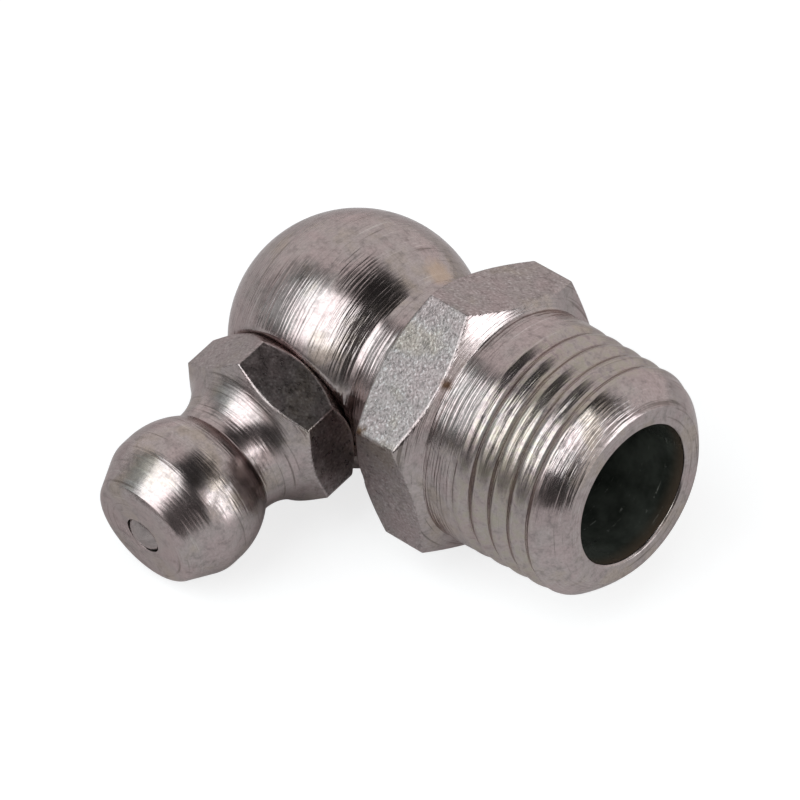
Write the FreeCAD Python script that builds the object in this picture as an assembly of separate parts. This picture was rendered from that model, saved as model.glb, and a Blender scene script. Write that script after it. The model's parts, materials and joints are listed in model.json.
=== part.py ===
import FreeCAD, Part
import math
import os

os.makedirs("parts", exist_ok=True)

# Right-angled grease nipple with a short taper thread, in millimetres.
# While a piece is being shaped, x runs along the thread axis from the centre of the ball, and s runs
# along the nipple axis from the same centre. The finished pieces are then turned and shifted so that
# the part lies as it comes to rest, on the ball, the nipple head and the rear end of a hexagon corner.

# elbow body, turned in one piece from hexagon bar
BODY_FLATS = 11.0
BODY_HEX_TURN = 1.4
BALL_RADIUS = 5.4
PARTING_FLAT_RADIUS = 1.5
NECK_RADIUS = 4.2
NECK_FILLET = 0.5
HEX_REAR_FACE = 5.34
HEX_REAR_CHAMFER = 0.49
HEX_CORNER_LENGTH = 2.01
CHAMFER_ANGLE = 30.0
STUD_RADIUS = 5.13
ROOT_LENGTH = 1.66
THREAD_LENGTH = 4.0
THREAD_TAPER = 16.0
NOSE_LENGTH = 1.18
NOSE_BULGE = 0.06
NOSE_FACE_RADIUS = 3.9
BORE_RADIUS = 3.1
BORE_EDGE = 0.07
BORE_BOTTOM = 2.9
DRILL_POINT_ANGLE = 118.0
CROSS_HOLE_BOTTOM = 0.9

# joint between the body and the nipple head
SEAT_FACE = 4.0
SPOT_FACE_RADIUS = 3.7
SHANK_RADIUS = 2.6
PRESS_INTERFERENCE = 0.01
SHANK_END = 2.3
SHANK_LEAD = 0.2

# nipple head, turned in one piece from hexagon bar
HEAD_FLATS = 7.0
HEAD_HEX_TURN = 0.9
HEAD_REAR_CHAMFER = 0.64
HEAD_CORNER_LENGTH = 1.48
WAIST_CURVE = 2.28
WAIST_DEPTH = 0.75
WAIST_TO_BELT = 2.25
BELT_RADIUS = 3.33
BELT_LAND = 0.4
BELT_FRONT_CURVE = 1.5
CONE_ANGLE = 26.0
CONE_LENGTH = 2.1
TIP_ROUND = 0.5

# valve inside the nipple head
CHECK_BALL_RADIUS = 1.19
BALL_CLEARANCE = 0.16
SEAT_OVERLAP = 0.34
SEAT_ANGLE = 40.0
SEAT_GAP = 0.01
ORIFICE_LAND = 0.1
LIP_THICKNESS = 0.3
LIP_OVERLAP = 0.15
SPRING_WIRE_RADIUS = 0.14
SPRING_CLEARANCE = 0.275
SPRING_GAP = 0.01
SPRING_TURNS = 7.5

# origin on the thread axis, where the thread runs out into the plain root of the stud
ORIGIN = 10.0

# length of the bar stock, and how far a cutting tool starts clear of the piece
BAR_LENGTH = 60.0
OVERRUN = 1.0


def body_corner():
    return BODY_FLATS / math.sqrt(3.0)


def hexagon_start():
    """Where the corners of the body's hexagon reach their full width, on the side of the ball."""
    return HEX_REAR_FACE + HEX_REAR_CHAMFER


def root_start():
    """Where the front chamfer of the hexagon runs down to the stud."""
    slope = math.tan(math.radians(CHAMFER_ANGLE))
    return hexagon_start() + HEX_CORNER_LENGTH + (body_corner() - STUD_RADIUS) * slope


def thread_start():
    return root_start() + ROOT_LENGTH


def end_face():
    return thread_start() + THREAD_LENGTH + NOSE_LENGTH


def head_corner():
    return HEAD_FLATS / math.sqrt(3.0)


def waist_centre():
    """Centre of the concave circle of the waist, which begins at the corners of the hexagon."""
    out = BELT_RADIUS - WAIST_DEPTH + WAIST_CURVE
    corner_end = SEAT_FACE + HEAD_REAR_CHAMFER + HEAD_CORNER_LENGTH
    return (corner_end + math.sqrt(WAIST_CURVE ** 2 - (out - head_corner()) ** 2), out)


def belt_start():
    return waist_centre()[0] + WAIST_TO_BELT


def tip_face():
    return belt_start() + BELT_LAND + CONE_LENGTH


def valve_bore_radius():
    return CHECK_BALL_RADIUS + BALL_CLEARANCE


def orifice_radius():
    return CHECK_BALL_RADIUS - SEAT_OVERLAP


def spring_coil_radius():
    return valve_bore_radius() - SPRING_CLEARANCE - SPRING_WIRE_RADIUS


def rest_attitude():
    """Roll about the thread axis and rise of its free end, in degrees, for the part at rest.

    The floor touches the ball, the belt of the nipple head and the rear end of a hexagon corner.
    """
    front = belt_start() + BELT_LAND
    ring = BELT_RADIUS - BELT_FRONT_CURVE
    droop = math.asin((BALL_RADIUS - BELT_FRONT_CURVE) / math.hypot(front, ring)) - math.atan2(ring, front)
    turn = math.radians(BODY_HEX_TURN)
    corner_out = body_corner() * math.sin(turn)
    corner_down = body_corner() * math.cos(turn)
    share = (BALL_RADIUS + corner_out * math.sin(droop)) / math.cos(droop)
    reach = math.hypot(corner_down, hexagon_start())
    swing = math.atan2(corner_down, hexagon_start()) - math.asin(share / reach)
    rise = math.asin(math.cos(droop) * math.sin(swing))
    roll = math.atan2(math.sin(droop), math.cos(droop) * math.cos(swing))
    return math.degrees(roll), math.degrees(rise)


def point(along, radius):
    return FreeCAD.Vector(radius, 0.0, along)


def line(start, end):
    return Part.makeLine(start, end)


def arc(start, middle, end):
    return Part.Arc(start, middle, end).toShape()


def on_circle(centre, radius, angle):
    """Point of a profile circle at an angle measured from the axis direction towards the radius."""
    turn = math.radians(angle)
    return point(centre[0] + radius * math.cos(turn), centre[1] + radius * math.sin(turn))


def arc_about(centre, radius, first, last):
    stops = [on_circle(centre, radius, angle) for angle in (first, (first + last) / 2.0, last)]
    return arc(*stops)


def revolved(edges):
    """Solid of revolution about the z axis of a closed profile drawn with point()."""
    face = Part.Face(Part.Wire(edges))
    return face.revolve(FreeCAD.Vector(0, 0, 0), FreeCAD.Vector(0, 0, 1), 360.0)


def closed_profile(edges):
    """Closes a profile that starts and ends on the axis."""
    start = edges[0].Vertexes[0].Point
    end = edges[-1].Vertexes[-1].Point
    return edges + [line(end, start)]


def polyline(points):
    return [line(a, b) for a, b in zip(points[:-1], points[1:])]


def hexagon_bar(flats, turn):
    """Long bar about the z axis with one corner at a right angle to x, turned by a few degrees."""
    corner = flats / math.sqrt(3.0)
    corners = []
    for index in range(7):
        angle = math.radians(90.0 + turn + 60.0 * index)
        corners.append(FreeCAD.Vector(corner * math.cos(angle), corner * math.sin(angle), -BAR_LENGTH / 2.0))
    face = Part.Face(Part.makePolygon(corners))
    return face.extrude(FreeCAD.Vector(0, 0, BAR_LENGTH))


def drilled(mouth, bottom, radius):
    """Drill hole along z with the cone its point leaves beyond the full-width bottom."""
    way = 1.0 if bottom > mouth else -1.0
    depth = radius / math.tan(math.radians(DRILL_POINT_ANGLE / 2.0))
    profile = [
        point(mouth, 0.0),
        point(mouth, radius),
        point(bottom, radius),
        point(bottom + way * depth, 0.0),
    ]
    return revolved(closed_profile(polyline(profile)))


def body_outline():
    """Ball, neck, chamfered hexagon, taper stud and rounded nose, drawn from the back of the ball."""
    slope = math.tan(math.radians(CHAMFER_ANGLE))
    back = math.sqrt(BALL_RADIUS ** 2 - PARTING_FLAT_RADIUS ** 2)
    back_angle = math.degrees(math.atan2(PARTING_FLAT_RADIUS, -back))
    fillet_radius = NECK_RADIUS + NECK_FILLET
    fillet_x = math.sqrt((BALL_RADIUS + NECK_FILLET) ** 2 - fillet_radius ** 2)
    ball_end = math.degrees(math.atan2(fillet_radius, fillet_x))
    thread_end = thread_start() + THREAD_LENGTH
    nose_start = point(thread_end, STUD_RADIUS - THREAD_LENGTH / (2.0 * THREAD_TAPER))
    nose_end = point(end_face(), NOSE_FACE_RADIUS)
    edges = [line(point(-back, 0.0), point(-back, PARTING_FLAT_RADIUS))]
    edges.append(arc_about((0.0, 0.0), BALL_RADIUS, back_angle, ball_end))
    edges.append(arc_about((fillet_x, fillet_radius), NECK_FILLET, 180.0 + ball_end, 270.0))
    edges += polyline([
        point(fillet_x, NECK_RADIUS),
        point(HEX_REAR_FACE, NECK_RADIUS),
        point(HEX_REAR_FACE, body_corner() - HEX_REAR_CHAMFER / slope),
        point(hexagon_start(), body_corner()),
        point(hexagon_start() + HEX_CORNER_LENGTH, body_corner()),
        point(root_start(), STUD_RADIUS),
        point(thread_start(), STUD_RADIUS),
        nose_start,
    ])
    edges.append(bulging_arc(nose_start, nose_end, NOSE_BULGE))
    edges.append(line(nose_end, point(end_face(), 0.0)))
    return closed_profile(edges)


def bulging_arc(start, end, bulge):
    """Arc between two profile points that stands out from their chord, away from the axis."""
    chord = end.sub(start)
    outward = FreeCAD.Vector(chord.z, 0.0, -chord.x).normalize()
    middle = start.add(chord.multiply(0.5)).add(outward.multiply(bulge))
    return arc(start, middle, end)


def elbow_body():
    """One turned piece: ball end, hexagon and threaded stud, drilled from both mouths."""
    solid = revolved(body_outline()).common(hexagon_bar(BODY_FLATS, BODY_HEX_TURN))
    solid = solid.cut(drilled(end_face() + OVERRUN, BORE_BOTTOM, BORE_RADIUS))
    edge = [
        point(end_face() - BORE_EDGE, 0.0),
        point(end_face() - BORE_EDGE, BORE_RADIUS),
        point(end_face(), BORE_RADIUS + BORE_EDGE),
        point(end_face() + OVERRUN, BORE_RADIUS + BORE_EDGE),
        point(end_face() + OVERRUN, 0.0),
    ]
    solid = solid.cut(revolved(closed_profile(polyline(edge))))
    return along_thread(solid).cut(along_nipple(mouth_of_body()))


def mouth_of_body():
    """Spot face on the ball and the hole for the nipple's shank, along the nipple axis."""
    hole = drilled(BALL_RADIUS + OVERRUN, CROSS_HOLE_BOTTOM, SHANK_RADIUS - PRESS_INTERFERENCE)
    seat = FreeCAD.Vector(0, 0, SEAT_FACE)
    facing = Part.makeCylinder(SPOT_FACE_RADIUS, BALL_RADIUS, seat, FreeCAD.Vector(0, 0, 1))
    return hole.fuse(facing)


def head_outline():
    """Shank, hexagon, waist, ball head with conical nose and flat tip, drawn from the shank end."""
    corner = head_corner()
    corner_rear = SEAT_FACE + HEAD_REAR_CHAMFER
    corner_front = corner_rear + HEAD_CORNER_LENGTH
    centre = waist_centre()
    meeting = waist_meets_ball()
    waist_first = math.degrees(math.atan2(corner - centre[1], corner_front - centre[0])) % 360.0
    waist_last = math.degrees(math.atan2(meeting[1] - centre[1], meeting[0] - centre[0])) % 360.0
    belt = belt_start()
    ball_first = math.degrees(math.atan2(meeting[1], meeting[0] - belt))
    cone = 90.0 - CONE_ANGLE
    front_centre = (belt + BELT_LAND, BELT_RADIUS - BELT_FRONT_CURVE)
    cone_start = on_circle(front_centre, BELT_FRONT_CURVE, cone)
    cone_end_radius = cone_start.x - (tip_face() - cone_start.z) * math.tan(math.radians(CONE_ANGLE))
    tangent = TIP_ROUND * math.tan(math.radians(cone / 2.0))
    round_centre = (tip_face() - TIP_ROUND, cone_end_radius - tangent)
    edges = polyline([
        point(SHANK_END, 0.0),
        point(SHANK_END, SHANK_RADIUS - SHANK_LEAD),
        point(SHANK_END + SHANK_LEAD, SHANK_RADIUS),
        point(SEAT_FACE, SHANK_RADIUS),
        point(SEAT_FACE, corner - HEAD_REAR_CHAMFER),
        point(corner_rear, corner),
        point(corner_front, corner),
    ])
    edges.append(arc_about(centre, WAIST_CURVE, waist_first, waist_last))
    edges.append(arc_about((belt, 0.0), BELT_RADIUS, ball_first, 90.0))
    edges.append(line(point(belt, BELT_RADIUS), point(belt + BELT_LAND, BELT_RADIUS)))
    edges.append(arc_about(front_centre, BELT_FRONT_CURVE, 90.0, cone))
    edges.append(line(cone_start, on_circle(round_centre, TIP_ROUND, cone)))
    edges.append(arc_about(round_centre, TIP_ROUND, cone, 0.0))
    edges.append(line(point(tip_face(), round_centre[1]), point(tip_face(), 0.0)))
    return closed_profile(edges)


def waist_meets_ball():
    """Where the waist circle runs into the ball of the head, on the side of the waist."""
    centre = waist_centre()
    away = math.hypot(WAIST_TO_BELT, centre[1])
    lean = math.atan2(-centre[1], WAIST_TO_BELT)
    spread = math.acos((WAIST_CURVE ** 2 - BELT_RADIUS ** 2 + away ** 2) / (2.0 * away * WAIST_CURVE))
    turn = lean - spread
    return (centre[0] + WAIST_CURVE * math.cos(turn), centre[1] + WAIST_CURVE * math.sin(turn))


def valve_passage():
    """Bore for ball and spring, conical seat and tip orifice, with a lip left at the shank end."""
    bore = valve_bore_radius()
    orifice = orifice_radius()
    lip = spring_coil_radius() - LIP_OVERLAP
    seat_run = (bore - orifice) / math.tan(math.radians(SEAT_ANGLE))
    seat_edge = tip_face() - ORIFICE_LAND
    stations = [
        point(SHANK_END - OVERRUN, 0.0),
        point(SHANK_END - OVERRUN, lip),
        point(SHANK_END + LIP_THICKNESS, lip),
        point(SHANK_END + LIP_THICKNESS, bore),
        point(seat_edge - seat_run, bore),
        point(seat_edge, orifice),
        point(tip_face() + OVERRUN, orifice),
        point(tip_face() + OVERRUN, 0.0),
    ]
    return revolved(closed_profile(polyline(stations)))


def nipple_head():
    solid = revolved(head_outline()).common(hexagon_bar(HEAD_FLATS, HEAD_HEX_TURN))
    return along_nipple(solid.cut(valve_passage()))


def check_ball_centre():
    """Distance along the nipple axis at which the ball rests in its conical seat."""
    angle = math.radians(SEAT_ANGLE)
    apex = tip_face() - ORIFICE_LAND + orifice_radius() / math.tan(angle)
    return apex - (CHECK_BALL_RADIUS + SEAT_GAP) / math.sin(angle)


def check_ball():
    ball = Part.makeSphere(CHECK_BALL_RADIUS, FreeCAD.Vector(0, 0, check_ball_centre()))
    return along_nipple(ball)


def valve_spring():
    """Open-coiled wire spring between the lip at the shank end and the back of the ball."""
    coil = spring_coil_radius()
    contact = CHECK_BALL_RADIUS + SPRING_WIRE_RADIUS + SPRING_GAP
    top = check_ball_centre() - math.sqrt(contact ** 2 - coil ** 2)
    bottom = SHANK_END + LIP_THICKNESS + SPRING_WIRE_RADIUS + SPRING_GAP
    height = top - bottom
    pitch = height / SPRING_TURNS
    path = Part.Wire(Part.makeHelix(pitch, height, coil))
    start = FreeCAD.Vector(coil, 0, 0)
    tangent = FreeCAD.Vector(0, coil, pitch / (2.0 * math.pi))
    circle = Part.Wire(Part.makeCircle(SPRING_WIRE_RADIUS, start, tangent))
    wire = path.makePipeShell([circle], True, True)
    wire.translate(FreeCAD.Vector(0, 0, bottom))
    return along_nipple(wire)


def along_thread(shape):
    """Turns a piece shaped about z so that z becomes the thread axis +X and x becomes Z."""
    placed = shape.copy()
    placed.rotate(FreeCAD.Vector(0, 0, 0), FreeCAD.Vector(1, 1, 1), 120.0)
    return placed


def along_nipple(shape):
    """Turns a piece shaped about z so that z becomes the nipple axis -Y."""
    placed = shape.copy()
    placed.rotate(FreeCAD.Vector(0, 0, 0), FreeCAD.Vector(1, 0, 0), 90.0)
    return placed


def at_rest(shape):
    """Puts the origin where the thread begins and turns a piece to the resting attitude."""
    roll, rise = rest_attitude()
    placed = shape.copy()
    placed.translate(FreeCAD.Vector(-ORIGIN, 0, 0))
    placed.rotate(FreeCAD.Vector(0, 0, 0), FreeCAD.Vector(1, 0, 0), roll)
    placed.rotate(FreeCAD.Vector(0, 0, 0), FreeCAD.Vector(0, 1, 0), -rise)
    return placed


def save(name, shape):
    at_rest(shape).exportStep("parts/" + name + ".step")


save("elbow_body", elbow_body())
save("nipple_head", nipple_head())
save("check_ball", check_ball())
save("valve_spring", valve_spring())
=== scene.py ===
import json
import math

import bpy
import numpy as np
from mathutils import Matrix, Quaternion, Vector


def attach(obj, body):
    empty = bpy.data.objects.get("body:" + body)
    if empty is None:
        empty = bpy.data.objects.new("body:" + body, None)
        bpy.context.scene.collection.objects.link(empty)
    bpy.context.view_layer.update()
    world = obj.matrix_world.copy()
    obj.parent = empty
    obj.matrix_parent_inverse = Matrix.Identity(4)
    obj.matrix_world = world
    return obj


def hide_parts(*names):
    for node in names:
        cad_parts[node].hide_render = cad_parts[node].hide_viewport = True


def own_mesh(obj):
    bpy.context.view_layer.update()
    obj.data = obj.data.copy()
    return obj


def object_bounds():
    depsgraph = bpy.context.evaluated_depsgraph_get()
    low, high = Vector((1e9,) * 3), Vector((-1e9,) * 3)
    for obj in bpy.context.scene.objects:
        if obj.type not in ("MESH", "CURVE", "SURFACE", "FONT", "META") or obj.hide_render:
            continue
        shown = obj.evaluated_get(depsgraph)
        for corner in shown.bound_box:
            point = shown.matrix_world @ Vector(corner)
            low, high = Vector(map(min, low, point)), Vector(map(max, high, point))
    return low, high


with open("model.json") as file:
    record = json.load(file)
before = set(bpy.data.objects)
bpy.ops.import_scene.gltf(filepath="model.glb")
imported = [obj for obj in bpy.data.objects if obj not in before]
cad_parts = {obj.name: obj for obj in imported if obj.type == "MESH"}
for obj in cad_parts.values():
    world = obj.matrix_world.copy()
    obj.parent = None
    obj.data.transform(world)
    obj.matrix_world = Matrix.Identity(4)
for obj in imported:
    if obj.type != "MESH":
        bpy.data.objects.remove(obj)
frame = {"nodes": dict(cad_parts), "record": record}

CAD_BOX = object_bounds()
MM = 0.001

# The part's own sizes in millimetres and degrees, as in its source. Stations lie along the thread axis
# or the nipple axis, from the ball's centre where the two cross.
BODY_FLATS = 11.0
BODY_HEX_TURN = 1.4
BODY_CORNER = BODY_FLATS / math.sqrt(3.0)
BALL_RADIUS = 5.4
PARTING_FLAT_RADIUS = 1.5
NECK_RADIUS = 4.2
NECK_FILLET = 0.5
HEX_REAR_FACE = 5.34
HEX_REAR_CHAMFER = 0.49
HEX_CORNER_LENGTH = 2.01
HEX_CORNER_REAR = HEX_REAR_FACE + HEX_REAR_CHAMFER
HEX_CORNER_FRONT = HEX_CORNER_REAR + HEX_CORNER_LENGTH
CHAMFER_ANGLE = 30.0
CHAMFER_SLOPE = math.tan(math.radians(CHAMFER_ANGLE))
STUD_RADIUS = 5.13
ROOT_LENGTH = 1.66
ROOT_START = HEX_CORNER_FRONT + (BODY_CORNER - STUD_RADIUS) * CHAMFER_SLOPE
THREAD_LENGTH = 4.0
THREAD_START = ROOT_START + ROOT_LENGTH
THREAD_END = THREAD_START + THREAD_LENGTH
THREAD_TAPER = 16.0
NOSE_LENGTH = 1.18
NOSE_BULGE = 0.06
NOSE_FACE_RADIUS = 3.9
END_FACE = THREAD_END + NOSE_LENGTH
BORE_RADIUS = 3.1
BORE_EDGE = 0.07
BORE_BOTTOM = 2.9
DRILL_POINT_ANGLE = 118.0
DRILL_SLOPE = 1.0 / math.tan(math.radians(DRILL_POINT_ANGLE / 2.0))
CROSS_HOLE_RADIUS = 2.59
CROSS_HOLE_BOTTOM = 0.9
SEAT_FACE = 4.0

# The shank is drawn a hundredth of a millimetre inside its hole, so that the two walls stay apart.
SHANK_RADIUS = 2.58
SHANK_END = 2.3
SHANK_LEAD = 0.2
HEAD_FLATS = 7.0
HEAD_HEX_TURN = 0.9
HEAD_CORNER = HEAD_FLATS / math.sqrt(3.0)
HEAD_REAR_CHAMFER = 0.64
HEAD_CORNER_LENGTH = 1.48
HEAD_CORNER_REAR = SEAT_FACE + HEAD_REAR_CHAMFER
HEAD_CORNER_FRONT = HEAD_CORNER_REAR + HEAD_CORNER_LENGTH
WAIST_CURVE = 2.28
WAIST_DEPTH = 0.75
WAIST_TO_BELT = 2.25
BELT_RADIUS = 3.33
BELT_LAND = 0.4
BELT_FRONT_CURVE = 1.5
WAIST_OUT = BELT_RADIUS - WAIST_DEPTH + WAIST_CURVE
WAIST = HEAD_CORNER_FRONT + math.sqrt(WAIST_CURVE ** 2 - (WAIST_OUT - HEAD_CORNER) ** 2)
BELT = WAIST + WAIST_TO_BELT
CONE_ANGLE = 26.0
CONE_LENGTH = 2.1
TIP_ROUND = 0.5
TIP_FACE = BELT + BELT_LAND + CONE_LENGTH

CHECK_BALL_RADIUS = 1.19
BALL_CLEARANCE = 0.16
SEAT_OVERLAP = 0.34
SEAT_ANGLE = 40.0
VALVE_BORE_RADIUS = CHECK_BALL_RADIUS + BALL_CLEARANCE
ORIFICE_RADIUS = CHECK_BALL_RADIUS - SEAT_OVERLAP
ORIFICE_LAND = 0.1
SEAT_EDGE = TIP_FACE - ORIFICE_LAND
LIP_THICKNESS = 0.3
LIP_OVERLAP = 0.15
SPRING_WIRE_RADIUS = 0.14
SPRING_CLEARANCE = 0.275
SPRING_COIL_RADIUS = VALVE_BORE_RADIUS - SPRING_CLEARANCE - SPRING_WIRE_RADIUS
LIP_RADIUS = SPRING_COIL_RADIUS - LIP_OVERLAP
SPRING_TURNS = 7.5
SPRING_GAP = 0.01

# The thread's grooves, in millimetres: soft and low, as the photograph shows them. Sharpness goes from
# 0, a sine wave, to 1, straight flanks. The phase is the station of a crest at angle 0, and the grooves
# begin a little before the thread's start and reach their depth over the run-out.
THREAD_PITCH = 1.0
THREAD_DEPTH = 0.18
THREAD_SHARPNESS = 0.45
THREAD_PHASE = 0.88
RUN_OUT_BEFORE = 0.35
RUN_OUT_LENGTH = 0.8

# How closely the meshes are laid out: steps in millimetres along the profiles, numbers of rows and
# sides, and the radius at which a profile or the cross drill ends beside its axis.
BALL_STEP = 0.25
CURVE_STEP = 0.08
PLAIN_STEP = 0.1
THREAD_STEP = 0.045
NOSE_ROWS = 22
CORNER_ROWS = 4
AXIS_GAP = 0.02
DRILL_AXIS_GAP = 0.01
DRILL_OVERRUN = 1.0
DRILL_SIDES = 72
SPRING_SIDES = 14
SPRING_STEPS_A_TURN = 40

# Where a hexagon has its first corner and how far apart its corners are, in degrees round the axis.
FIRST_CORNER = 90.0
HEX_STEP = 60.0

# Rounding: the share of a line that a rounded corner may take up, and the width of the grooves' edges.
LONGEST_ROUND = 0.4
GROOVE_EDGE = 0.03

# How far past its own ends each of these reaches along the axis, in millimetres.
BAR_REAR_MARGIN = 0.02
BAR_FRONT_MARGIN = 1.2
THREAD_MARGIN = 0.5

# Colours of the steel, given as light returned when seen square on. The warm tint is only laid on in
# part, the brown goes so many millimetres into the bore, and a scuff darkens the polished steel.
ZINC = (0.345, 0.295, 0.286)
ZINC_LIGHT = (0.43, 0.385, 0.37)
ZINC_DARK = (0.18, 0.15, 0.14)
THREAD_TINT = (0.31, 0.285, 0.225)
STAIN = (0.10, 0.06, 0.04)
WARM = (0.46, 0.335, 0.245)
WARM_SHARE = 0.6
FLAT = (0.305, 0.262, 0.256)
FLAT_DARK = (0.245, 0.208, 0.202)
FLAT_LIGHT = (0.41, 0.375, 0.37)
BORE_DARK = (0.05, 0.056, 0.047)
BORE_LIGHT = (0.15, 0.162, 0.14)
BORE_SCORED = (0.42, 0.42, 0.38)
BORE_BROWN = (0.17, 0.12, 0.085)
BROWN_DEPTH = 0.9
SPRING_STEEL = (0.28, 0.28, 0.29)
BALL_STEEL = (0.33, 0.283, 0.274)
SCUFF_SHARE = 0.7

# What the colour is multiplied by, in broad patches of the plating.
YELLOWISH = (1.0, 0.98, 0.90)
UNCHANGED = (1.0, 1.0, 1.0)
PINKISH = (1.03, 0.97, 0.98)
# The tint of every metal where it is seen at a slant.
RIM_TINT = (0.85, 0.78, 0.77)

# Noises drawn out round the turning axis: waves a millimetre along and round it, detail and roughness.
RING_NOISES = {
    "fine": (14.0, 0.8, 2.0, 0.5),
    "streak": (5.5, 0.22, 3.0, 0.6),
    "broad": (1.3, 0.25, 3.0, 0.6),
}
# Noises that are alike in all directions: waves a millimetre, detail and roughness. The last one
# makes the spots ragged.
EVEN_NOISES = {
    "patch": (0.45, 4.0, 0.6),
    "speckle": (9.0, 2.0, 0.5),
    "mottle": (2.6, 5.0, 0.65),
}
SPOT_NOISE = (3.5, 4.0, 0.7)

# Tool marks: the feed in millimetres a turn, how far it drifts in radians, and heights in thousandths
# of a millimetre.
MICRON = 0.000001
FEED = 0.17
FEED_DRIFT = 14.0
FEED_HEIGHT = 3.0
STREAK_HEIGHT = 28.0
FINE_HEIGHT = 8.0
SPECKLE_HEIGHT = 11.0
SCUFF_HEIGHT = 20.0

# How rough the threads are, how much rougher the rest gets in places, and how much less metallic and
# less marked the bores are.
THREAD_ROUGHNESS = (0.25, 0.25, 0.25)
ROUGHNESS_RANGE = 0.1
BORE_DULLNESS = 0.4
BORE_SMOOTHING = 0.85

# Brown marks on the body: place along the part's own axes, radius and raggedness, in millimetres.
BODY_STAINS = [
    ((5.95, -5.45, 3.05), 0.28, 0.5),
    ((6.15, -5.35, 3.2), 0.15, 0.4),
    ((8.35, -2.5, 4.65), 0.36, 0.6),
]
# A faint warm tint of the plating beside the neck, given in the same way.
BODY_TINTS = [
    ((3.2, 2.5, 3.6), 0.9, 0.8),
]

# The room as the photograph's reflections show it: azimuths from +Y towards +X, elevations, the width
# of the soft edge, all in degrees, and how bright it is beside the white of the room.
DARK_WINDOWS = [
    ((110.0, 158.0), (-4.0, 68.0), 4.0, 0.08),
    ((22.0, 150.0), (51.0, 84.0), 5.0, 0.03),
    ((-30.0, 150.0), (62.0, 95.0), 4.0, 0.03),
    ((44.0, 60.0), (-10.0, 50.0), 3.0, 0.08),
    ((-124.0, -96.0), (-5.0, 30.0), 5.0, 0.6),
    ((-114.0, -94.0), (30.0, 62.0), 4.0, 0.25),
    ((158.0, 181.0), (-9.0, 14.0), 4.0, 0.22),
    ((-181.0, -124.0), (-9.0, 14.0), 4.0, 0.22),
]
# The dark overhead, and a side of the room whose white is a little cooler.
ZENITH_ELEVATION = 74.0
ZENITH_SOFTNESS = 4.0
ZENITH_LEVEL = 0.04
COOL_AZIMUTHS = (-152.0, -108.0)
COOL_ELEVATIONS = (8.0, 62.0)
COOL_SOFTNESS = 6.0
COOL_LIGHT = (0.80, 0.93, 0.94)
WHITE = (1.0, 1.0, 1.0)
FILL_LEVEL = 0.4
SOFTBOX_COLOUR = (0.92, 1.0, 1.03)

# Places that the lamps face, in millimetres along the part's own axes.
BALL_PLACE = (0.0, 0.0, 0.0)
NOSE_PLACE = (14.6, -2.16, 4.06)

# The floor in metres, its white to all rays but the camera's, and what the camera sees: an even glow
# with a grey on top of it, which takes the part's shadow.
FLOOR_RADIUS = 0.16
FLOOR_GAP = 0.00002
FLOOR_CORNERS = 60
FLOOR_WHITE = (0.95, 0.95, 0.95, 1.0)
FLOOR_GLOW = 0.75
FLOOR_SHADED = (0.4, 0.4, 0.4, 1.0)

# Camera fitted to the photograph: its directions and its place in millimetres along the part's own axes.
CAMERA_FOCAL_PX = 6276.0
CAMERA_RIGHT = (0.72232, 0.66936, -0.17384)
CAMERA_DOWN = (0.41570, -0.62114, -0.66437)
CAMERA_PLACE = (145.92, -106.34, 186.86)
CAMERA_CLIP_START = 0.01
PHOTO_SIZE_PX = 800.0
SENSOR = 36.0

# Where the part's own axes lie in the object's frame: the mounts name the thread axis and the nipple
# axis, and the thread's mount lies 10 mm from the ball's centre.
MOUNT_STATION = 10.0
MOUNTS = {m["name"]: m for m in frame["record"]["mounts"]}
THREAD_AXIS = Vector(MOUNTS["thread"]["axis"]).normalized()
NIPPLE_AXIS = Vector(MOUNTS["grease_head"]["axis"]).normalized()
SIDE_AXIS = THREAD_AXIS.cross(-NIPPLE_AXIS).normalized()
BALL_CENTRE = Vector(MOUNTS["thread"]["pos_m"]) - THREAD_AXIS * MOUNT_STATION * MM
OWN_AXES = Matrix((THREAD_AXIS, -NIPPLE_AXIS, SIDE_AXIS)).transposed()


# Profiles, as points of (station, radius)

def line_points(start, end, step):
    """Points from start to just before end, at most step apart."""
    count = max(1, int(math.ceil(math.dist(start, end) / step)))
    return [(start[0] + (end[0] - start[0]) * i / count, start[1] + (end[1] - start[1]) * i / count)
            for i in range(count)]


def on_circle(centre, radius, angle):
    """The place on a circle at an angle in degrees from the axis direction."""
    turn = math.radians(angle)
    return centre[0] + radius * math.cos(turn), centre[1] + radius * math.sin(turn)


def bearing(centre, point):
    """The angle in degrees at which a point is seen from a centre, from 0 to 360."""
    return math.degrees(math.atan2(point[1] - centre[1], point[0] - centre[0])) % 360.0


def arc_points(centre, radius, first, last, step):
    """Points of an arc from angle first to just before last, at most step apart."""
    count = max(2, int(math.ceil(abs(math.radians(last - first)) * radius / step)))
    return [on_circle(centre, radius, first + (last - first) * i / count) for i in range(count)]


def toward(start, target, distance):
    span = math.dist(start, target)
    return tuple(a + (b - a) * distance / span for a, b in zip(start, target))


def through(corners, step, edge):
    """A run of straight lines whose inner corners are rounded over a short edge width."""
    points = []
    here = corners[0]
    for before, corner, after in zip(corners[:-2], corners[1:-1], corners[2:]):
        size = min(edge, LONGEST_ROUND * math.dist(before, corner), LONGEST_ROUND * math.dist(corner, after))
        enter = toward(corner, before, size)
        leave = toward(corner, after, size)
        points += line_points(here, enter, step)
        for i in range(CORNER_ROWS):
            t = i / CORNER_ROWS
            points.append(tuple((1 - t) ** 2 * a + 2 * t * (1 - t) * b + t * t * c
                                for a, b, c in zip(enter, corner, leave)))
        here = leave
    points += line_points(here, corners[-1], step)
    return points


def travel_along(profile):
    """Length run along the profile up to each point."""
    steps = [math.dist(a, b) for a, b in zip(profile[:-1], profile[1:])]
    return np.concatenate([[0.0], np.cumsum(steps)])


# Turned surfaces

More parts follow.
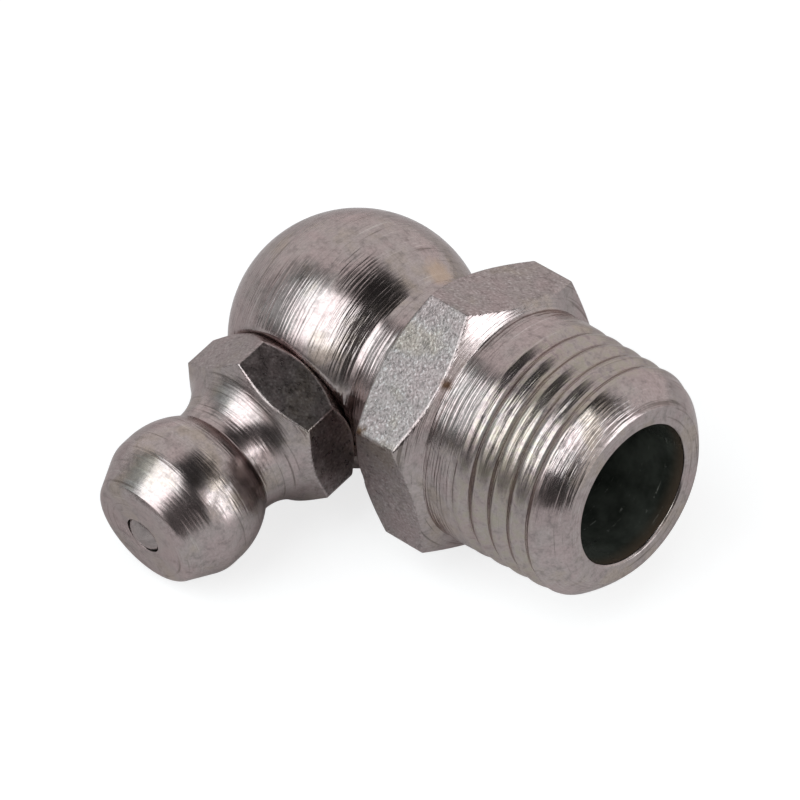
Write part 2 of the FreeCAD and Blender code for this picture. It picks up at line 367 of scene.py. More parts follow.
def grid_of(profile, angles):
    """Station, radius and angle of every point, with a row for each point of the profile."""
    stations, radii = np.array(profile).T
    along, angle = np.meshgrid(stations, angles, indexing="ij")
    return along, np.repeat(radii[:, None], len(angles), axis=1), angle


def column_angles(turn, spread, fine, coarse):
    """Angles round the axis: steps of fine degrees near the hexagon's corners, and coarse ones between."""
    near = np.arange(-spread, spread, fine)
    count = int((HEX_STEP - 2 * spread) / coarse)
    apart = np.linspace(spread, HEX_STEP - spread, count, endpoint=False)
    steps = np.radians(np.concatenate([near, apart]))
    starts = [math.radians(FIRST_CORNER + turn + HEX_STEP * corner) for corner in range(6)]
    return np.concatenate([start + steps for start in starts])


def soft_min(a, b, width):
    """The smaller of two radii, with the edge between them rounded over that width."""
    share = np.clip(0.5 + 0.5 * (b - a) / width, 0.0, 1.0)
    return b * (1.0 - share) + a * share - width * share * (1.0 - share)


def fade(distance, width):
    """0 on one side of a boundary and 1 on the other, changing over that width."""
    return np.clip(distance / width + 0.5, 0.0, 1.0)


def hexagon_radius(angle, flats, turn, width):
    """Distance from the axis to a hexagon's side, its corners rounded over that width."""
    centre = math.radians(FIRST_CORNER + turn + HEX_STEP / 2.0)
    folded = (angle - centre + math.pi / 6.0) % (math.pi / 3.0) - math.pi / 6.0
    near = flats / 2.0 / np.cos(folded)
    far = flats / 2.0 / np.cos(np.abs(folded) - math.pi / 3.0)
    return soft_min(near, far, width)


def milled(radius, hexagon, on_bar, edge, skin):
    """Turned radius cut back to the bar's hexagon, and where the surface is a flat of the bar."""
    flat = np.where(on_bar, fade(radius - hexagon, skin), 0.0)
    return np.where(on_bar, soft_min(radius, hexagon, edge), radius), flat


def ring_faces(rows, columns, joined):
    """Quads of a grid closed round the axis: its end rings are joined to one another, or else capped."""
    faces = []
    for row in range(rows if joined else rows - 1):
        ahead = (row + 1) % rows
        for column in range(columns):
            beside = (column + 1) % columns
            faces.append((row * columns + column, row * columns + beside,
                          ahead * columns + beside, ahead * columns + column))
    if not joined:
        faces.append(tuple(reversed(range(columns))))
        faces.append(tuple((rows - 1) * columns + c for c in range(columns)))
    return faces


def about_thread(along, radius, angle):
    """Places along, out from and round the thread axis, along the part's own axes in millimetres."""
    return np.stack([along, radius * np.cos(angle), radius * np.sin(angle)], axis=-1)


def about_nipple(along, radius, angle):
    """The same about the nipple axis, which runs towards -Y of the part's own axes."""
    return np.stack([radius * np.cos(angle), -along, radius * np.sin(angle)], axis=-1)


def in_object_frame(local):
    """Millimetres about the ball's centre, along the part's own axes, to metres in the object's frame."""
    return local.reshape(-1, 3) @ np.array(OWN_AXES).T * MM + np.array(BALL_CENTRE)


def new_piece(name, points, faces, smooth=True):
    mesh = bpy.data.meshes.new(name)
    mesh.from_pydata([tuple(p) for p in points], [], faces)
    mesh.update()
    if smooth:
        mesh.shade_smooth()
    piece = bpy.data.objects.new(name, mesh)
    bpy.context.scene.collection.objects.link(piece)
    return piece


def store(piece, name, values):
    layer = piece.data.attributes.new(name, "FLOAT", "POINT")
    layer.data.foreach_set("value", np.asarray(values, dtype=np.float32))


def store_surface(piece, profile, outside, flat):
    """Keeps for the materials how far along the profile each point lies, and if on a flat or in a bore."""
    columns = flat.shape[1]
    store(piece, "travel", np.repeat(travel_along(profile), columns))
    store(piece, "flat", flat.ravel())
    store(piece, "bore", np.repeat(np.where(outside, 0.0, 1.0), columns))


# Elbow body

def nose_points(start, end):
    """The nose of the stud: a chord between its ends, swollen outwards."""
    span = math.dist(start, end)
    normal = ((start[1] - end[1]) / span, (end[0] - start[0]) / span)
    points = []
    for i in range(NOSE_ROWS):
        t = i / NOSE_ROWS
        swell = 4.0 * NOSE_BULGE * t * (1.0 - t)
        points.append((start[0] + (end[0] - start[0]) * t + normal[0] * swell,
                       start[1] + (end[1] - start[1]) * t + normal[1] * swell))
    return points


def body_profile():
    """Outline of the body from the parting flat to the end face, then down the bore to its drill cone.

    Gives the points, and how many of them lie outside the bore.
    """
    back = math.sqrt(BALL_RADIUS ** 2 - PARTING_FLAT_RADIUS ** 2)
    fillet_out = NECK_RADIUS + NECK_FILLET
    fillet_x = math.sqrt((BALL_RADIUS + NECK_FILLET) ** 2 - fillet_out ** 2)
    ball_start = bearing((0.0, 0.0), (-back, PARTING_FLAT_RADIUS))
    ball_end = bearing((0.0, 0.0), (fillet_x, fillet_out))
    rear_radius = BODY_CORNER - HEX_REAR_CHAMFER / CHAMFER_SLOPE
    stud_end_radius = STUD_RADIUS - THREAD_LENGTH / (2.0 * THREAD_TAPER)
    root = (ROOT_START + 0.2, STUD_RADIUS)
    before_thread = (THREAD_START - 0.4, STUD_RADIUS)
    nose_start = (THREAD_END, stud_end_radius)
    nose_end = (END_FACE, NOSE_FACE_RADIUS)
    mouth = (END_FACE - 2.0 * BORE_EDGE, BORE_RADIUS)
    drill_point = (BORE_BOTTOM - BORE_RADIUS * DRILL_SLOPE + AXIS_GAP * DRILL_SLOPE, AXIS_GAP)
    points = [(-back, AXIS_GAP)]
    points += line_points((-back, 0.3), (-back, PARTING_FLAT_RADIUS), step=0.4)
    points += arc_points((0.0, 0.0), BALL_RADIUS, ball_start, ball_end, BALL_STEP)
    points += arc_points((fillet_x, fillet_out), NECK_FILLET, 180.0 + ball_end, 270.0, CURVE_STEP)
    points += through([
        (fillet_x, NECK_RADIUS),
        (HEX_REAR_FACE, NECK_RADIUS),
        (HEX_REAR_FACE, rear_radius),
        (HEX_CORNER_REAR, BODY_CORNER),
        (HEX_CORNER_FRONT, BODY_CORNER),
        (ROOT_START, STUD_RADIUS),
        root,
    ], step=0.06, edge=0.05)
    points += line_points(root, before_thread, step=0.2)
    points += line_points(before_thread, (THREAD_START, STUD_RADIUS), THREAD_STEP)
    points += line_points((THREAD_START, STUD_RADIUS), nose_start, THREAD_STEP)
    points += nose_points(nose_start, nose_end)
    points += through([
        nose_end,
        (END_FACE, BORE_RADIUS + BORE_EDGE),
        (END_FACE - BORE_EDGE, BORE_RADIUS),
        mouth,
    ], step=0.12, edge=0.03)
    outside_rows = len(points)
    points += through([mouth, (BORE_BOTTOM, BORE_RADIUS), drill_point], step=0.6, edge=0.03)
    points.append(drill_point)
    return points, outside_rows


def groove_depth(along, angle):
    """How deep the helical thread is cut at each place of the stud."""
    turn = (along - THREAD_PHASE - THREAD_PITCH * angle / (2.0 * math.pi)) / THREAD_PITCH
    wave = np.arcsin(THREAD_SHARPNESS * np.cos(2.0 * math.pi * turn))
    rounded = 0.5 - wave / (2.0 * math.asin(THREAD_SHARPNESS))
    entering = np.clip((along - THREAD_START + RUN_OUT_BEFORE) / RUN_OUT_LENGTH, 0.0, 1.0)
    return THREAD_DEPTH * rounded * entering * entering * (3.0 - 2.0 * entering)


def elbow_body():
    profile, outside_rows = body_profile()
    outside = np.arange(len(profile)) < outside_rows
    angles = column_angles(BODY_HEX_TURN, spread=1.5, fine=0.45, coarse=1.6)
    along, turned, angle = grid_of(profile, angles)
    threaded = outside[:, None] & (along > THREAD_START - THREAD_MARGIN)
    crest = STUD_RADIUS - np.maximum(along - THREAD_START, 0.0) / (2.0 * THREAD_TAPER)
    grooved = soft_min(turned, crest - groove_depth(along, angle), GROOVE_EDGE)
    cut = np.where(threaded, grooved, turned)
    hexagon = hexagon_radius(angle, BODY_FLATS, BODY_HEX_TURN, width=0.1)
    before_bar = along <= HEX_REAR_FACE - BAR_REAR_MARGIN
    past_bar = along >= HEX_CORNER_FRONT + BAR_FRONT_MARGIN
    on_bar = outside[:, None] & ~before_bar & ~past_bar
    radius, flat = milled(cut, hexagon, on_bar, edge=0.09, skin=0.06)
    faces = ring_faces(len(profile), len(angles), joined=False)
    body = new_piece("elbow_body_turned", in_object_frame(about_thread(along, radius, angle)), faces)
    store_surface(body, profile, outside, flat)
    on_thread = fade(along - THREAD_START, width=0.6) * fade(THREAD_END - along, width=0.4)
    store(body, "thread", np.where(threaded, on_thread, 0.0).ravel())
    flatten_seat(body)
    drill_across(body)
    return body


def flatten_seat(body):
    """Presses the ball's surface down to the spot face where the nipple's hexagon seats."""
    places = np.empty(len(body.data.vertices) * 3)
    body.data.vertices.foreach_get("co", places)
    local = (places.reshape(-1, 3) - np.array(BALL_CENTRE)) / MM @ np.array(OWN_AXES)
    near = np.hypot(local[:, 0], local[:, 2]) < BALL_RADIUS
    local[:, 1] = np.where(near & (local[:, 1] < -SEAT_FACE), -SEAT_FACE, local[:, 1])
    body.data.vertices.foreach_set("co", in_object_frame(local).ravel())
    body.data.update()


def drill_across(body):
    """Cuts the cross hole for the nipple's shank, with the cone that its drill leaves."""
    drill = [
        (BALL_RADIUS + DRILL_OVERRUN, DRILL_AXIS_GAP),
        (BALL_RADIUS + DRILL_OVERRUN, CROSS_HOLE_RADIUS),
        (CROSS_HOLE_BOTTOM, CROSS_HOLE_RADIUS),
        (CROSS_HOLE_BOTTOM - CROSS_HOLE_RADIUS * DRILL_SLOPE, DRILL_AXIS_GAP),
    ]
    angles = np.linspace(0.0, 2.0 * math.pi, DRILL_SIDES, endpoint=False)
    faces = ring_faces(len(drill), DRILL_SIDES, joined=False)
    local = about_nipple(*grid_of(drill, angles))
    cutter = new_piece("cross_drill", in_object_frame(local), faces, smooth=False)
    modifier = body.modifiers.new("cross hole", "BOOLEAN")
    modifier.operation = "DIFFERENCE"
    modifier.solver = "MANIFOLD"
    modifier.object = cutter
    bpy.context.view_layer.update()
    graph = bpy.context.evaluated_depsgraph_get()
    finished = bpy.data.meshes.new_from_object(body.evaluated_get(graph))
    body.modifiers.clear()
    body.data = finished
    bpy.data.objects.remove(cutter)


# Nipple head

def head_profile():
    """Closed outline of the head: outside from the shank end to the tip, then back through the valve bore.

    Gives the points, and how many of them lie outside the bore.
    """
    waist_centre = (WAIST, WAIST_OUT)
    away = math.hypot(BELT - WAIST, WAIST_OUT)
    spread = math.acos((WAIST_CURVE ** 2 - BELT_RADIUS ** 2 + away ** 2) / (2.0 * away * WAIST_CURVE))
    waist_start = bearing(waist_centre, (HEAD_CORNER_FRONT, HEAD_CORNER))
    waist_end = bearing(waist_centre, (BELT, 0.0)) - math.degrees(spread)
    belt_start = bearing((BELT, 0.0), on_circle(waist_centre, WAIST_CURVE, waist_end))
    cone = 90.0 - CONE_ANGLE
    front_centre = (BELT + BELT_LAND, BELT_RADIUS - BELT_FRONT_CURVE)
    cone_start = on_circle(front_centre, BELT_FRONT_CURVE, cone)
    tip_corner = cone_start[1] - (TIP_FACE - cone_start[0]) * math.tan(math.radians(CONE_ANGLE))
    round_centre = (TIP_FACE - TIP_ROUND, tip_corner - TIP_ROUND * math.tan(math.radians(cone / 2.0)))
    cone_end = on_circle(round_centre, TIP_ROUND, cone)
    seat_depth = (VALVE_BORE_RADIUS - ORIFICE_RADIUS) / math.tan(math.radians(SEAT_ANGLE))
    points = through([
        (SHANK_END, LIP_RADIUS),
        (SHANK_END, SHANK_RADIUS - SHANK_LEAD),
        (SHANK_END + SHANK_LEAD, SHANK_RADIUS),
        (SEAT_FACE, SHANK_RADIUS),
        (SEAT_FACE, HEAD_CORNER - HEAD_REAR_CHAMFER),
        (HEAD_CORNER_REAR, HEAD_CORNER),
        (HEAD_CORNER_FRONT, HEAD_CORNER),
    ], step=0.065, edge=0.03)
    points += arc_points(waist_centre, WAIST_CURVE, waist_start, waist_end, CURVE_STEP)
    points += arc_points((BELT, 0.0), BELT_RADIUS, belt_start, 90.0, CURVE_STEP)
    points += line_points((BELT, BELT_RADIUS), (BELT + BELT_LAND, BELT_RADIUS), PLAIN_STEP)
    points += arc_points(front_centre, BELT_FRONT_CURVE, 90.0, cone, CURVE_STEP)
    points += line_points(cone_start, cone_end, PLAIN_STEP)
    points += arc_points(round_centre, TIP_ROUND, cone, 0.0, step=0.04)
    points += through([
        (TIP_FACE, round_centre[1]),
        (TIP_FACE, ORIFICE_RADIUS),
        (SEAT_EDGE, ORIFICE_RADIUS),
    ], PLAIN_STEP, edge=0.02)
    outside_rows = len(points)
    points += through([
        (SEAT_EDGE, ORIFICE_RADIUS),
        (SEAT_EDGE - seat_depth, VALVE_BORE_RADIUS),
        (SHANK_END + LIP_THICKNESS, VALVE_BORE_RADIUS),
        (SHANK_END + LIP_THICKNESS, LIP_RADIUS),
        (SHANK_END, LIP_RADIUS),
    ], step=0.4, edge=0.02)
    return points, outside_rows


def nipple_head():
    profile, outside_rows = head_profile()
    outside = np.arange(len(profile)) < outside_rows
    angles = column_angles(HEAD_HEX_TURN, spread=1.8, fine=0.45, coarse=1.8)
    along, turned, angle = grid_of(profile, angles)
    hexagon = hexagon_radius(angle, HEAD_FLATS, HEAD_HEX_TURN, width=0.08)
    on_bar = outside[:, None] & (along < WAIST)
    radius, flat = milled(turned, hexagon, on_bar, edge=0.07, skin=0.05)
    faces = ring_faces(len(profile), len(angles), joined=True)
    head = new_piece("nipple_head_turned", in_object_frame(about_nipple(along, radius, angle)), faces)
    store_surface(head, profile, outside, flat)
    return head


# Valve spring

def spring_wire():
    """Round wire wound in a helix between the lip and the check ball, its two ends closed by discs."""
    seat_apex = SEAT_EDGE + ORIFICE_RADIUS / math.tan(math.radians(SEAT_ANGLE))
    ball_station = seat_apex - (CHECK_BALL_RADIUS + SPRING_GAP) / math.sin(math.radians(SEAT_ANGLE))
    contact = CHECK_BALL_RADIUS + SPRING_WIRE_RADIUS + SPRING_GAP
    top = ball_station - math.sqrt(contact ** 2 - SPRING_COIL_RADIUS ** 2)
    bottom = SHANK_END + LIP_THICKNESS + SPRING_WIRE_RADIUS + SPRING_GAP
    steps = int(SPRING_TURNS * SPRING_STEPS_A_TURN)
    share, around = np.meshgrid(np.linspace(0.0, 1.0, steps + 1),
                                np.linspace(0.0, 2.0 * math.pi, SPRING_SIDES, endpoint=False), indexing="ij")
    along = bottom + (top - bottom) * share + SPRING_WIRE_RADIUS * np.sin(around)
    out = SPRING_COIL_RADIUS + SPRING_WIRE_RADIUS * np.cos(around)
    local = about_nipple(along, out, 2.0 * math.pi * SPRING_TURNS * share)
    # The wire's rings run the other way round than a turned piece's, so its faces are turned over.
    faces = [(face[0], *reversed(face[1:]))
             for face in ring_faces(steps + 1, SPRING_SIDES, joined=False)]
    spring = new_piece("valve_spring_wire", in_object_frame(local), faces)
    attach(spring, "nipple")
    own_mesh(spring)
    return spring


# Shader nodes

def cleared_tree(owner):
    """The empty node tree of a material or a world."""
    owner.use_nodes = True
    for node in list(owner.node_tree.nodes):
        owner.node_tree.nodes.remove(node)
    return owner.node_tree


def feed(tree, value, socket):
    """Gives a socket a number, a colour or the output of another node."""
    if isinstance(value, (int, float)):
        socket.default_value = value
    elif isinstance(value, tuple):
        socket.default_value = (*value, 1.0)
    else:
        tree.links.new(value, socket)


def attribute(tree, name):
    node = tree.nodes.new("ShaderNodeAttribute")
    node.attribute_name = name
    return node.outputs["Fac"]


def maths(tree, kind, first, second=None):
    node = tree.nodes.new("ShaderNodeMath")
    node.operation = kind
    feed(tree, first, node.inputs[0])
    if second is not None:
        feed(tree, second, node.inputs[1])
    return node.outputs["Value"]


def parts_of(tree, vector):
    split = tree.nodes.new("ShaderNodeSeparateXYZ")
    tree.links.new(vector, split.inputs["Vector"])
    return split.outputs


def noise(tree, vector, scale, detail, rough):
    node = tree.nodes.new("ShaderNodeTexNoise")
    node.inputs["Scale"].default_value = scale
    node.inputs["Detail"].default_value = detail
    node.inputs["Roughness"].default_value = rough
    tree.links.new(vector, node.inputs["Vector"])
    return node.outputs["Fac"]


def ramp(tree, value, stops):
    """A number or colour read from stops of (place, number or colour)."""
    node = tree.nodes.new("ShaderNodeValToRGB")
    elements = node.color_ramp.elements
    while len(elements) < len(stops):
        elements.new(0.5)
    for element, (place, colour) in zip(elements, stops):
        element.position = place
        element.color = (*colour, 1.0) if isinstance(colour, tuple) else (colour, colour, colour, 1.0)
    tree.links.new(value, node.inputs["Fac"])
    return node.outputs["Color"]


def blend(tree, share, first, second, way="MIX"):
    """The first colour where share is 0 and the second, mixed in that way, where it is 1."""
    node = tree.nodes.new("ShaderNodeMix")
    node.data_type = "RGBA"
    node.blend_type = way
    feed(tree, share, node.inputs[0])
    feed(tree, first, node.inputs[6])
    feed(tree, second, node.inputs[7])
    return node.outputs[2]


def blend_numbers(tree, share, first, second):
    """The first number where share is 0 and the second where it is 1."""
    node = tree.nodes.new("ShaderNodeMix")
    node.data_type = "FLOAT"
    feed(tree, share, node.inputs[0])
    feed(tree, first, node.inputs[2])
    feed(tree, second, node.inputs[3])
    return node.outputs[0]


def bumped(tree, height, strength, distance):
    node = tree.nodes.new("ShaderNodeBump")
    node.inputs["Strength"].default_value = strength
    node.inputs["Distance"].default_value = distance
    tree.links.new(height, node.inputs["Height"])
    return node.outputs["Normal"]


def rise_at(tree, value, edge, soft):
    """0 below an edge and 1 above it, changing over a soft width on both sides."""
    node = tree.nodes.new("ShaderNodeMapRange")
    node.interpolation_type = "SMOOTHSTEP"
    node.inputs["From Min"].default_value = edge - soft
    node.inputs["From Max"].default_value = edge + soft
    tree.links.new(value, node.inputs["Value"])
    return node.outputs["Result"]


def between(tree, value, limits, soft):
    """1 between two limits and 0 outside them, with soft edges."""
    low, high = (rise_at(tree, value, limit, soft) for limit in limits)
    return maths(tree, "SUBTRACT", low, high)


def by_ray(tree, kind, theirs, others):
    """One shader for rays of that kind, and another for all others."""
    path = tree.nodes.new("ShaderNodeLightPath")
    mix = tree.nodes.new("ShaderNodeMixShader")
    tree.links.new(path.outputs[kind], mix.inputs["Fac"])
    tree.links.new(others, mix.inputs[1])
    tree.links.new(theirs, mix.inputs[2])
    return mix.outputs["Shader"]


# Materials

def metal(name):
    """A new material with a lone Principled shader, its tree and that shader."""
    material = bpy.data.materials.new(name)
    tree = cleared_tree(material)
    output = tree.nodes.new("ShaderNodeOutputMaterial")
    shader = tree.nodes.new("ShaderNodeBsdfPrincipled")
    shader.inputs["Specular Tint"].default_value = (*RIM_TINT, 1.0)
    tree.links.new(shader.outputs["BSDF"], output.inputs["Surface"])
    return material, tree, shader


def own_place(tree):
    """Millimetres from the ball's centre along the part's own axes."""
    coordinate = tree.nodes.new("ShaderNodeTexCoord")
    mapping = tree.nodes.new("ShaderNodeMapping")
    mapping.vector_type = "TEXTURE"
    mapping.inputs["Location"].default_value = BALL_CENTRE
    mapping.inputs["Rotation"].default_value = OWN_AXES.to_euler()
    mapping.inputs["Scale"].default_value = (MM, MM, MM)
    tree.links.new(coordinate.outputs["Object"], mapping.inputs["Vector"])
    return mapping.outputs["Vector"]


def ring_place(tree, axis, along_scale, round_scale):
    """Coordinates in which a pattern is drawn out round the turning axis."""
    place = parts_of(tree, own_place(tree))
    across = ("Y", "Z") if axis == "thread" else ("X", "Z")
    join = tree.nodes.new("ShaderNodeCombineXYZ")
    tree.links.new(maths(tree, "MULTIPLY", attribute(tree, "travel"), along_scale), join.inputs["X"])
    tree.links.new(maths(tree, "MULTIPLY", place[across[0]], round_scale), join.inputs["Y"])
    tree.links.new(maths(tree, "MULTIPLY", place[across[1]], round_scale), join.inputs["Z"])
    return join.outputs["Vector"]


def grain_of(tree, axis):
    """The noises that the plating is made of, by name."""
    grain = {}
    for name, (along_scale, round_scale, detail, rough) in RING_NOISES.items():
        grain[name] = noise(tree, ring_place(tree, axis, along_scale, round_scale), 1.0, detail, rough)
    for name, (scale, detail, rough) in EVEN_NOISES.items():
        grain[name] = noise(tree, own_place(tree), scale, detail, rough)
    return grain


def spot(tree, centre, radius, ragged):
    """1 within a ragged patch about a place given in millimetres along the part's own axes."""
    place = own_place(tree)
    gap = tree.nodes.new("ShaderNodeVectorMath")
    gap.operation = "DISTANCE"
    tree.links.new(place, gap.inputs[0])
    gap.inputs[1].default_value = centre
    uneven = maths(tree, "MULTIPLY", noise(tree, place, *SPOT_NOISE), ragged)
    edge = maths(tree, "ADD", gap.outputs["Value"], uneven)
    return ramp(tree, maths(tree, "DIVIDE", edge, radius + 0.5 * ragged), [(0.6, 1.0), (1.0, 0.0)])


def plating_colour(tree, axis, grain, flat, stains, tints):
    """Zinc plating: streaked where it was turned, speckled on the bar's flats, with its spots."""
    streaked = ramp(tree, grain["streak"],
                    [(0.30, ZINC_DARK), (0.40, ZINC), (0.62, ZINC), (0.72, ZINC_LIGHT)])
    speckled = ramp(tree, grain["speckle"],
                    [(0.36, FLAT_DARK), (0.50, FLAT), (0.60, FLAT), (0.68, FLAT_LIGHT)])
    colour = blend(tree, flat, streaked, speckled)
    tint = ramp(tree, grain["patch"], [(0.36, YELLOWISH), (0.47, UNCHANGED), (0.60, PINKISH)])
    wear = ramp(tree, grain["mottle"], [(0.34, 0.74), (0.48, 0.98), (0.6, 1.04)])
    grit = ramp(tree, grain["speckle"], [(0.32, 0.90), (0.5, 1.0), (0.68, 1.08)])
    for layer in (tint, wear, grit):
        colour = blend(tree, 1.0, colour, layer, "MULTIPLY")
    if axis == "thread":
        mottled = ramp(tree, grain["mottle"], [(0.45, 0.0), (0.60, 0.6)])
        share = maths(tree, "MULTIPLY", attribute(tree, "thread"), mottled)
        colour = blend(tree, share, colour, THREAD_TINT)
    for centre, radius, ragged in tints:
        share = maths(tree, "MULTIPLY", spot(tree, centre, radius, ragged), WARM_SHARE)
        colour = blend(tree, share, colour, WARM)
    for centre, radius, ragged in stains:
        colour = blend(tree, spot(tree, centre, radius, ragged), colour, STAIN)
    return colour


def bore_colour(tree, axis, grain):
    """Dark with scored places, and brown at the mouth of the stud's bore."""
    colour = ramp(tree, grain["patch"], [(0.40, BORE_DARK), (0.62, BORE_LIGHT)])
    scored = maths(tree, "MULTIPLY", ramp(tree, grain["streak"], [(0.60, 0.0), (0.68, 1.0)]),
                   ramp(tree, grain["mottle"], [(0.54, 0.0), (0.64, 1.0)]))
    colour = blend(tree, scored, colour, BORE_SCORED)
    if axis == "thread":
        station = parts_of(tree, own_place(tree))["X"]
        mouth = rise_at(tree, station, END_FACE - 0.5 * BROWN_DEPTH, 0.5 * BROWN_DEPTH)
        colour = blend(tree, mouth, colour, BORE_BROWN)
    return colour


def plating_roughness(tree, axis, grain, flat, smoothest):
    turned = ramp(tree, grain["broad"], [(0.3, smoothest), (0.7, smoothest + ROUGHNESS_RANGE)])
    if axis == "thread":
        turned = blend(tree, attribute(tree, "thread"), turned, THREAD_ROUGHNESS)
    skin = ramp(tree, grain["mottle"], [(0.3, 0.25), (0.7, 0.36)])
    return blend(tree, flat, turned, skin)


def tool_marks(tree, grain):
    """Height in thousandths of a millimetre: feed rings that come and go, and uneven scratches."""
    turns = maths(tree, "MULTIPLY", attribute(tree, "travel"), 2.0 * math.pi / FEED)
    shifted = maths(tree, "ADD", turns, maths(tree, "MULTIPLY", grain["broad"], FEED_DRIFT))
    coming = ramp(tree, grain["broad"], [(0.40, 0.15), (0.60, 1.0)])
    strength = maths(tree, "MULTIPLY", coming, FEED_HEIGHT)
    feed_rings = maths(tree, "MULTIPLY", maths(tree, "SINE", shifted), strength)
    scratches = maths(tree, "ADD", maths(tree, "MULTIPLY", grain["streak"], STREAK_HEIGHT),
                      maths(tree, "MULTIPLY", grain["fine"], FINE_HEIGHT))
    return maths(tree, "ADD", feed_rings, scratches)


def plating_normal(tree, grain, flat, bore, marks):
    """Tool marks where it was turned, fainter in the bores, and a speckled skin on the flats."""
    outside = maths(tree, "SUBTRACT", 1.0, maths(tree, "MULTIPLY", bore, BORE_SMOOTHING))
    turned = maths(tree, "MULTIPLY", tool_marks(tree, grain), maths(tree, "MULTIPLY", outside, marks))
    skin = maths(tree, "MULTIPLY", grain["speckle"], SPECKLE_HEIGHT)
    return bumped(tree, blend_numbers(tree, flat, turned, skin), 1.0, MICRON)


def zinc_steel(name, axis, stains, tints, marks, smoothest):
    """Turned, zinc-plated steel with the marks of the tool and the skin of the bar.

    stains and tints list the spots on it, marks is the strength of the tool marks and smoothest the
    lowest roughness.
    """
    material, tree, shader = metal(name)
    grain = grain_of(tree, axis)
    flat = attribute(tree, "flat")
    bore = attribute(tree, "bore")
    plating = plating_colour(tree, axis, grain, flat, stains, tints)
    metallic = maths(tree, "SUBTRACT", 1.0, maths(tree, "MULTIPLY", bore, BORE_DULLNESS))
    roughness = plating_roughness(tree, axis, grain, flat, smoothest)
    tree.links.new(blend(tree, bore, plating, bore_colour(tree, axis, grain)), shader.inputs["Base Color"])
    tree.links.new(metallic, shader.inputs["Metallic"])
    tree.links.new(roughness, shader.inputs["Roughness"])
    tree.links.new(plating_normal(tree, grain, flat, bore, marks), shader.inputs["Normal"])
    return material


def polished_steel(name, colour, scale):
    """Bearing ball or spring wire: smooth steel with faint scuffs."""
    material, tree, shader = metal(name)
    scuff = noise(tree, own_place(tree), scale, 5.0, 0.65)
    scuffed = tuple(SCUFF_SHARE * c for c in colour)
    tree.links.new(ramp(tree, scuff, [(0.35, scuffed), (0.6, colour)]), shader.inputs["Base Color"])
    shader.inputs["Metallic"].default_value = 1.0
    tree.links.new(ramp(tree, scuff, [(0.35, 0.2), (0.7, 0.34)]), shader.inputs["Roughness"])
    tree.links.new(bumped(tree, scuff, 0.2, SCUFF_HEIGHT * MICRON), shader.inputs["Normal"])
    return material


def dress(piece, material):
    piece.data.materials.clear()
    piece.data.materials.append(material)


# Studio

def make_floor():
    """White to the camera but for the part's shadow, and a plain white floor to all other rays."""
    low, high = CAD_BOX
    middle = ((low[0] + high[0]) / 2.0, (low[1] + high[1]) / 2.0)
    turns = [2.0 * math.pi * i / FLOOR_CORNERS for i in range(FLOOR_CORNERS)]
    corners = [(middle[0] + FLOOR_RADIUS * math.cos(t), middle[1] + FLOOR_RADIUS * math.sin(t),
                low[2] - FLOOR_GAP) for t in turns]
    floor = new_piece("floor", corners, [tuple(range(FLOOR_CORNERS))], smooth=False)
    material = bpy.data.materials.new("floor_white")
    tree = cleared_tree(material)
    output = tree.nodes.new("ShaderNodeOutputMaterial")
    plain = tree.nodes.new("ShaderNodeBsdfDiffuse")
    plain.inputs["Color"].default_value = FLOOR_WHITE
    shaded = tree.nodes.new("ShaderNodeBsdfDiffuse")
    shaded.inputs["Color"].default_value = FLOOR_SHADED
    glow = tree.nodes.new("ShaderNodeEmission")
    glow.inputs["Strength"].default_value = FLOOR_GLOW
    seen = tree.nodes.new("ShaderNodeAddShader")
    tree.links.new(glow.outputs[0], seen.inputs[0])
    tree.links.new(shaded.outputs[0], seen.inputs[1])
    surface = by_ray(tree, "Is Camera Ray", seen.outputs[0], plain.outputs[0])
    tree.links.new(surface, output.inputs["Surface"])
    dress(floor, material)


def background(tree, strength, colour):
    node = tree.nodes.new("ShaderNodeBackground")
    feed(tree, strength, node.inputs["Strength"])
    feed(tree, colour, node.inputs["Color"])
    return node.outputs["Background"]


def directions(tree):
    """Azimuth and elevation of the direction looked in, in degrees."""
    coordinate = tree.nodes.new("ShaderNodeTexCoord")
    ahead = parts_of(tree, coordinate.outputs["Generated"])
    azimuth = maths(tree, "ARCTAN2", ahead["X"], ahead["Y"])
    elevation = maths(tree, "ARCSINE", ahead["Z"])
    return maths(tree, "DEGREES", azimuth), maths(tree, "DEGREES", elevation)


def window(tree, looking, azimuths, elevations, soft):
    """1 towards one part of the room and 0 towards the rest, with a soft edge."""
    azimuth, elevation = looking
    return maths(tree, "MULTIPLY", between(tree, azimuth, azimuths, soft),
                 between(tree, elevation, elevations, soft))


def room_light(tree):
    """The room that the metal reflects: white, with dark windows, a dark zenith and a cooler side."""
    looking = directions(tree)
    zenith = rise_at(tree, looking[1], ZENITH_ELEVATION, ZENITH_SOFTNESS)
    dark = maths(tree, "MULTIPLY", zenith, 1.0 - ZENITH_LEVEL)
    for azimuths, elevations, soft, level in DARK_WINDOWS:
        here = window(tree, looking, azimuths, elevations, soft)
        dark = maths(tree, "MAXIMUM", dark, maths(tree, "MULTIPLY", here, 1.0 - level))
    cool = window(tree, looking, COOL_AZIMUTHS, COOL_ELEVATIONS, COOL_SOFTNESS)
    return background(tree, maths(tree, "SUBTRACT", 1.0, dark), blend(tree, cool, WHITE, COOL_LIGHT))


def make_world():
    """White to the camera and through glass, the fitted room in reflections and an even fill otherwise."""
    world = bpy.data.worlds.new("studio")
    bpy.context.scene.world = world
    tree = cleared_tree(world)
    white = background(tree, 1.0, WHITE)
    fill = background(tree, FILL_LEVEL, WHITE)
    lighting = by_ray(tree, "Is Glossy Ray", room_light(tree), fill)
    seen = by_ray(tree, "Is Camera Ray", white, lighting)
    output = tree.nodes.new("ShaderNodeOutputWorld")
    tree.links.new(by_ray(tree, "Is Transmission Ray", white, seen), output.inputs["Surface"])


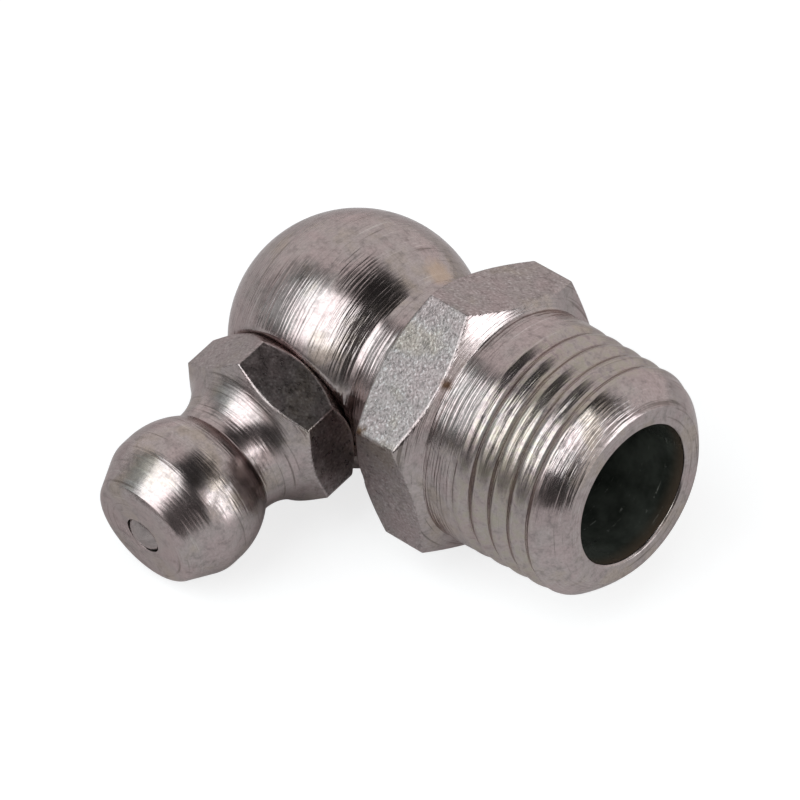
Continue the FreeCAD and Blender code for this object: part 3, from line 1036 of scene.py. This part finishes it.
def placed(place):
    """A place in millimetres along the part's own axes, in metres in the object's frame."""
    return BALL_CENTRE + OWN_AXES @ Vector(place) * MM


def softbox(name, place, azimuth, elevation, distance, width, height, roll, radiance):
    """A rectangular lamp that faces a place on the part, rolled about the line to it."""
    light = bpy.data.lights.new(name, "AREA")
    light.shape = "RECTANGLE"
    light.size = width
    light.size_y = height
    light.energy = radiance * math.pi * width * height
    light.color = SOFTBOX_COLOUR
    lamp = bpy.data.objects.new(name, light)
    bpy.context.scene.collection.objects.link(lamp)
    turn, rise = math.radians(azimuth), math.radians(elevation)
    outward = Vector((math.sin(turn) * math.cos(rise), math.cos(turn) * math.cos(rise), math.sin(rise)))
    lamp.location = placed(place) + outward * distance
    lamp.visible_camera = False
    facing = outward.to_track_quat("Z", "Y") @ Quaternion((0.0, 0.0, 1.0), math.radians(roll))
    lamp.rotation_euler = facing.to_euler()


def make_camera():
    camera = bpy.data.cameras.new("camera")
    camera.sensor_width = SENSOR
    camera.lens = SENSOR * CAMERA_FOCAL_PX / PHOTO_SIZE_PX
    camera.clip_start = CAMERA_CLIP_START
    eye = bpy.data.objects.new("camera", camera)
    bpy.context.scene.collection.objects.link(eye)
    right = Vector(CAMERA_RIGHT)
    ahead = right.cross(Vector(CAMERA_DOWN)).normalized()
    down = ahead.cross(right).normalized()
    turn = OWN_AXES @ Matrix((right.normalized(), -down, -ahead)).transposed()
    eye.matrix_world = Matrix.Translation(placed(CAMERA_PLACE)) @ turn.to_4x4()
    bpy.context.scene.camera = eye


body = elbow_body()
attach(body, "nipple")
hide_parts("elbow_body")
dress(body, zinc_steel("zinc_body", "thread", BODY_STAINS, BODY_TINTS, marks=1.0, smoothest=0.15))

head = nipple_head()
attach(head, "nipple")
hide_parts("nipple_head")
dress(head, zinc_steel("zinc_head", "nipple", stains=[], tints=[], marks=0.5, smoothest=0.19))

spring = spring_wire()
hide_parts("valve_spring")
dress(spring, polished_steel("spring_wire_steel", SPRING_STEEL, scale=6.0))

dress(frame["nodes"]["check_ball"], polished_steel("ball_steel", BALL_STEEL, scale=3.0))
frame["nodes"]["check_ball"].data.shade_smooth()

bpy.context.scene.view_settings.view_transform = "Standard"
make_floor()
make_world()
softbox("softbox_left", BALL_PLACE, azimuth=195.0, elevation=47.0, distance=0.5,
        width=0.40, height=0.42, roll=25.0, radiance=2.75)
softbox("softbox_right", BALL_PLACE, azimuth=63.0, elevation=13.0, distance=0.2,
        width=0.078, height=0.107, roll=0.0, radiance=4.2)
softbox("card_right", NOSE_PLACE, azimuth=117.5, elevation=52.0, distance=0.012,
        width=0.0156, height=0.0034, roll=45.0, radiance=4.2)
make_camera()
